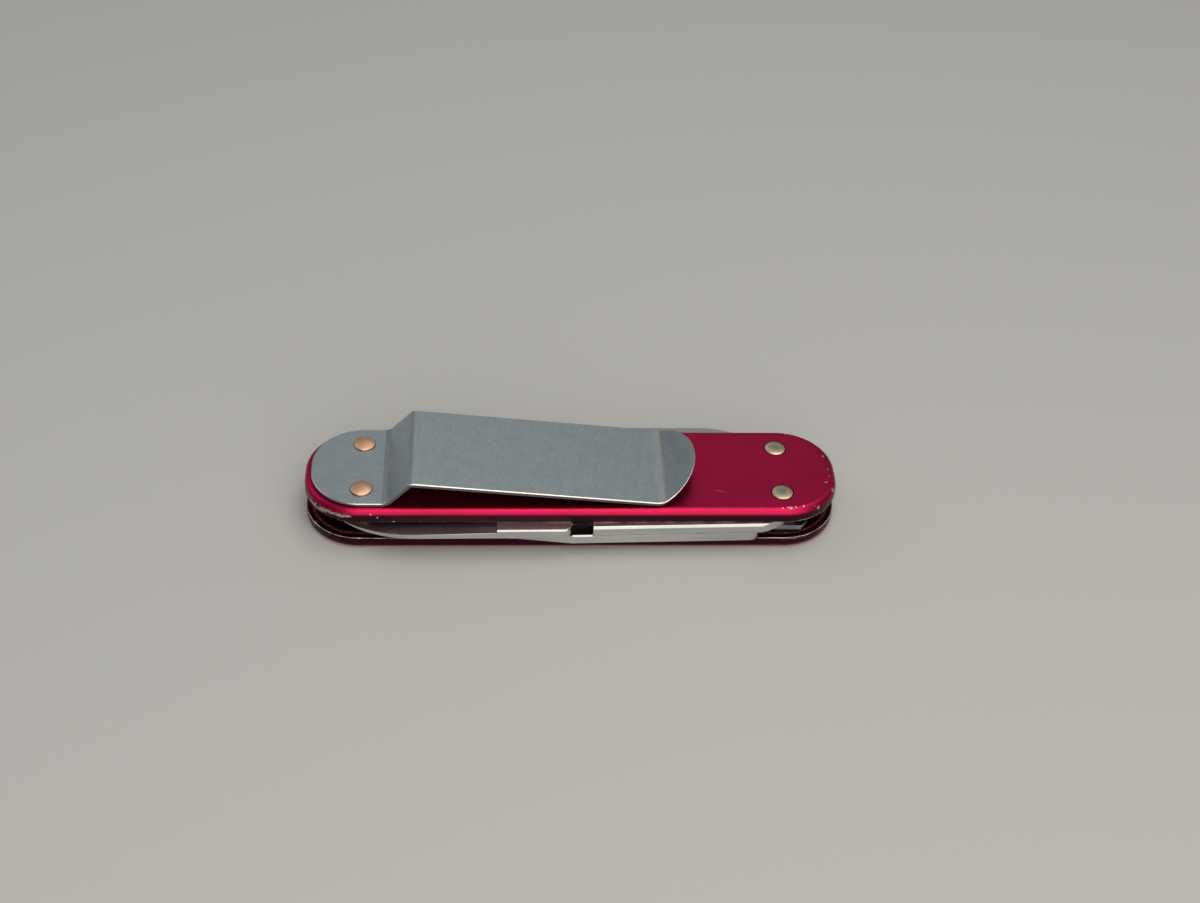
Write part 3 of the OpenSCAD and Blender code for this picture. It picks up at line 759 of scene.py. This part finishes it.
leaf_strip = new_piece("leaf_spring_strip", leaf_mesh, spring_steel_and_shade_finish)
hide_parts("leaf_spring")
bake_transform(leaf_strip)


# Money clip: one strip of stainless spring sheet, blanked, bent three times and riveted on the
# left end of the top scale. Its faces are satin, and its edges are polished. Its colour carries
# painted highlights on the crest, the contact bend and the edges, a painted blue reflection,
# and painted shade on the sides and the underside.

CLIP_EDGE = 0.15
CLIP_EDGE_FADE = 0.05
CLIP_END_R = 7.0
CLIP_TIP_L = 5.8
# The blue tint of the clip steel is a painted reflection of a blue surface round it.
CLIP_STEEL = (0.60, 0.685, 0.715, 1)
CLIP_STEEL_DARK = (0.46, 0.535, 0.565, 1)
CLIP_CLOUD = 0.15
CLIP_ROUGHNESS = (0.40, 0.36)
CLIP_GRAIN_H = 0.005
CLIP_STEEL_RUBBED_AND_LIT = (0.68, 0.70, 0.70, 1)
CLIP_RUBBED_AND_LIT_STRENGTH = 0.6
CLIP_CREST_X = -22.0
CLIP_CREST_HIGHLIGHT_FADE = (5.0, 0.5)
CLIP_BEND_SHEEN = (0.86, 0.78, 0.70, 1)
CLIP_BEND_SHEEN_STRENGTH = (0.35, 0.75)
CLIP_TOUCH_X = 12.45
CLIP_TOUCH_FADE = (0.42, 0.12)
CLIP_POLISHED_EDGE_HIGHLIGHT = (0.80, 0.75, 0.69, 1)
CLIP_POLISH = 0.14
CLIP_SIDE_SHADE = (0.16, 0.17, 0.18, 1)
CLIP_UNDERSIDE_SHADE = (0.07, 0.075, 0.08, 1)
CLIP_GRIME_REACH = 0.07
CLIP_SCRATCHES = (
    (-13.7, 3.4, -0.2, 4.5, 0.035),
    (-12.0, 4.1, 0.25, 2.2, 0.03),
    (-5.5, -1.0, 0.5, 3.0, 0.025),
    (4.0, 3.0, -0.6, 2.6, 0.03),
)


def inside_clip(tree, parts):
    """How far a point lies inside the outline of the clip, which has a round end and an oval tip."""
    low, high = (corner * 1000 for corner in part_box("money_clip"))
    inside_end = effect(
        tree,
        outline_distance,
        Centre_X=high.x,
        Half_length=high.x - low.x,
        Half_width=high.y,
        Corner_radius=CLIP_END_R,
    )["Inside"]
    on_tip = maths(tree, "MAXIMUM", maths(tree, "SUBTRACT", parts["X"], high.x - CLIP_TIP_L), 0.0)
    tip_along = maths(tree, "MULTIPLY", on_tip, high.y / CLIP_TIP_L)
    tip_reach = distance(tree, vector_of(tree, tip_along, parts["Y"]))
    return maths(tree, "MINIMUM", inside_end, maths(tree, "SUBTRACT", high.y, tip_reach))


def clip_finish():
    """Satin steel, brushed across the clip and scratched, with painted highlights on its crest, its
    bend and its polished edges, and painted shade on its sides and underside.
    """
    material, tree, shader = new_finish("clip_satin_steel", Metallic=1.0)
    spot = millimetres(tree)
    parts = axes(tree, spot)
    fine = ramp(tree, effect(tree, fine_grain, Size=0.05, Stretch_along_Y=14.0)["Height"], 0.35, 0.65)
    patchy = noise(tree, spot, 0.5, detail=5.0, roughness=0.65)
    cloud = ramp(tree, patchy, 0.35, 0.65, -CLIP_CLOUD, CLIP_CLOUD)
    steel = mixed(tree, maths(tree, "ADD", fine, cloud, clamp=True), CLIP_STEEL_DARK, CLIP_STEEL)

    # Painted highlight: a streaky light band round the crest. The scratches laid in with it are real
    # wear.
    from_crest = maths(tree, "ABSOLUTE", maths(tree, "SUBTRACT", parts["X"], CLIP_CREST_X))
    streaks = ramp(tree, effect(tree, fine_grain, Size=0.12, Stretch_along_Y=12.0)["Height"], 0.45, 0.7)
    rubbed = maths(tree, "MULTIPLY", ramp(tree, from_crest, *CLIP_CREST_HIGHLIGHT_FADE), streaks)
    for x, y, angle, length, width in CLIP_SCRATCHES:
        line = effect(tree, scratch, X=x, Y=y, Angle=angle, Length=length, Width=width)["Mask"]
        rubbed = maths(tree, "MAXIMUM", rubbed, line)
    steel = mixed(tree, maths(tree, "MULTIPLY", rubbed, CLIP_RUBBED_AND_LIT_STRENGTH), steel, CLIP_STEEL_RUBBED_AND_LIT)

    brushed = effect(tree, fine_grain, Size=0.08, Stretch_along_Y=9.0)
    # Painted reflection: a warm light line along the contact bend, uneven with the brushing.
    from_touch = maths(tree, "ABSOLUTE", maths(tree, "SUBTRACT", parts["X"], CLIP_TOUCH_X))
    uneven = ramp(tree, brushed["Height"], 0.3, 0.7, *CLIP_BEND_SHEEN_STRENGTH)
    bend_sheen = maths(tree, "MULTIPLY", ramp(tree, from_touch, *CLIP_TOUCH_FADE), uneven)
    steel = mixed(tree, bend_sheen, steel, CLIP_BEND_SHEEN)

    # The polished edges are smoother, and their light warm colour is a painted highlight.
    edge_fade = (CLIP_EDGE + CLIP_EDGE_FADE, CLIP_EDGE - CLIP_EDGE_FADE)
    polished_and_highlit = ramp(tree, inside_clip(tree, parts), *edge_fade)
    steel = mixed(tree, polished_and_highlit, steel, CLIP_POLISHED_EDGE_HIGHLIGHT)
    up = facing_up(tree)
    # Painted shade: the side faces of the clip turn dark, standing in for the dark surroundings they
    # reflect.
    steel = mixed(tree, ramp(tree, maths(tree, "ABSOLUTE", up), 0.4, 0.1), steel, CLIP_SIDE_SHADE)
    # Painted shade: the underside of the clip turns nearly black, as it lies in shade over the scale.
    steel = mixed(tree, ramp(tree, up, -0.1, -0.4), steel, CLIP_UNDERSIDE_SHADE)
    grime = effect(tree, grime_ring, Rivet_X=-rivet_at.x, Reach=CLIP_GRIME_REACH)["Mask"]
    tree.links.new(mixed(tree, grime, steel, GRIME), shader["Base Color"])
    rough = ramp(tree, brushed["Shade"], 0.3, 0.7, *CLIP_ROUGHNESS)
    smooth = maths(tree, "MULTIPLY", polished_and_highlit, CLIP_POLISH)
    tree.links.new(maths(tree, "SUBTRACT", rough, smooth), shader["Roughness"])
    tree.links.new(bump(tree, brushed["Height"], CLIP_GRAIN_H), shader["Normal"])
    return material


dress("money_clip", clip_finish(), CLIP_EDGE, segments=3, smooth_bends=True)


# Rivets: four solid rivets set through the scales. The left pair also holds the clip and has
# copper-coloured domes, and the right pair is brass and ground nearly flush.

DOME_EDGE = 0.12
COPPER = (0.95, 0.62, 0.40, 1)
COPPER_DULL = (0.80, 0.50, 0.32, 1)
COPPER_ROUGHNESS = (0.54, 0.44)
HEAD_EDGE = 0.05
HEAD_TARNISH = (0.50, 0.47, 0.38, 1)
HEAD_TARNISH_R = 0.25
HEAD_TARNISH_REACH = 0.42
HEAD_CLEAN_R = 1.38
HEAD_CLEAN_REACH = 0.04


def aged_head(tree, colour):
    """The colour of a rivet's head that is grey in the middle and dirty along its rim."""
    tarnished = effect(tree, grime_ring, Head_radius=HEAD_TARNISH_R, Reach=HEAD_TARNISH_REACH)["Mask"]
    clean = effect(tree, grime_ring, Head_radius=HEAD_CLEAN_R, Reach=HEAD_CLEAN_REACH)["Mask"]
    return mixed(tree, clean, GRIME, mixed(tree, tarnished, colour, HEAD_TARNISH))


dome_copper = metal_finish(
    "rivet_copper",
    COPPER_DULL,
    COPPER,
    contrast=(0.35, 0.6),
    roughness=COPPER_ROUGHNESS,
    grain_h=0.006,
    Size=0.12,
)
head_brass = brass_finish("rivet_brass", aged=aged_head)
for rivet_name in ("front_left_rivet", "back_left_rivet"):
    dress(rivet_name, dome_copper, DOME_EDGE, segments=3)
for rivet_name in ("front_right_rivet", "back_right_rivet"):
    dress(rivet_name, head_brass, HEAD_EDGE)


# Studio: a plain pale floor, soft lights round a large room of grey, and the camera at the
# photograph's own angle. Lengths here are in metres, apart from the lens in millimetres.

FLOOR_HALF = 2.0
FLOOR_PALE = (0.58, 0.58, 0.57, 1)
FLOOR_ROUGHNESS = 0.6
ROOM_GREY = (0.11, 0.115, 0.12, 1)
KEY_WARM = (1.0, 0.95, 0.87)
FILL_WHITE = (1.0, 1.0, 1.0)
CAMERA_TARGET = Vector((0.00468, 0.01181, 0))
CAMERA_AZIMUTH = math.radians(-4.463)
CAMERA_ELEVATION = math.radians(40.867)
CAMERA_ROLL = math.radians(3.017)
CAMERA_DISTANCE = 0.27733
CAMERA_LENS = 56.71
CAMERA_NEAREST = 0.01

floor_corners = [(x * FLOOR_HALF, y * FLOOR_HALF, 0) for x, y in ((-1, -1), (1, -1), (1, 1), (-1, 1))]
floor_mesh = bpy.data.meshes.new("floor")
floor_mesh.from_pydata(floor_corners, [], [(0, 1, 2, 3)])
floor_finish = new_finish("floor_pale", Base_Color=FLOOR_PALE, Roughness=FLOOR_ROUGHNESS)[0]
floor = new_piece("floor", floor_mesh, floor_finish)

scene = bpy.context.scene
room = bpy.data.worlds.new("room")
room.use_nodes = True
room.node_tree.nodes["Background"].inputs["Color"].default_value = ROOM_GREY
scene.world = room
scene.view_settings.view_transform = "Standard"


def softbox(name, centre, size, watts, tint):
    """A rectangular light that faces the middle of the knife."""
    lamp = bpy.data.lights.new(name, "AREA")
    lamp.shape = "RECTANGLE"
    lamp.size, lamp.size_y = size
    lamp.energy = watts
    lamp.color = tint
    holder = bpy.data.objects.new(name, lamp)
    holder.location = centre
    holder.rotation_euler = (-Vector(centre)).to_track_quat("-Z", "Y").to_euler()
    holder.visible_camera = False
    scene.collection.objects.link(holder)


softbox("back_left_light", (-0.44, 0.20, 0.36), (0.40, 0.40), 0.30, FILL_WHITE)
softbox("back_right_light", (0.42, 0.24, 0.36), (0.40, 0.40), 0.14, FILL_WHITE)
softbox("back_panel", (-0.02, 0.50, 0.42), (0.36, 0.36), 0.10, FILL_WHITE)
softbox("front_panel", (0.09, -0.33, 0.39), (0.64, 0.36), 0.95, KEY_WARM)
softbox("front_strip", (0.09, -0.48, 0.15), (0.64, 0.24), 0.70, KEY_WARM)
softbox("ceiling_panel", (0.06, -0.03, 0.52), (0.62, 0.26), 1.10, KEY_WARM)

camera_data = bpy.data.cameras.new("camera")
camera_data.lens = CAMERA_LENS
camera_data.clip_start = CAMERA_NEAREST
camera = bpy.data.objects.new("camera", camera_data)
towards_camera = Vector(
    (
        math.sin(CAMERA_AZIMUTH) * math.cos(CAMERA_ELEVATION),
        -math.cos(CAMERA_AZIMUTH) * math.cos(CAMERA_ELEVATION),
        math.sin(CAMERA_ELEVATION),
    )
)
camera.location = CAMERA_TARGET + CAMERA_DISTANCE * towards_camera
camera_turn = (-towards_camera).to_track_quat("-Z", "Y") @ Quaternion((0, 0, 1), CAMERA_ROLL)
camera.rotation_euler = camera_turn.to_euler()
scene.collection.objects.link(camera)
scene.camera = camera
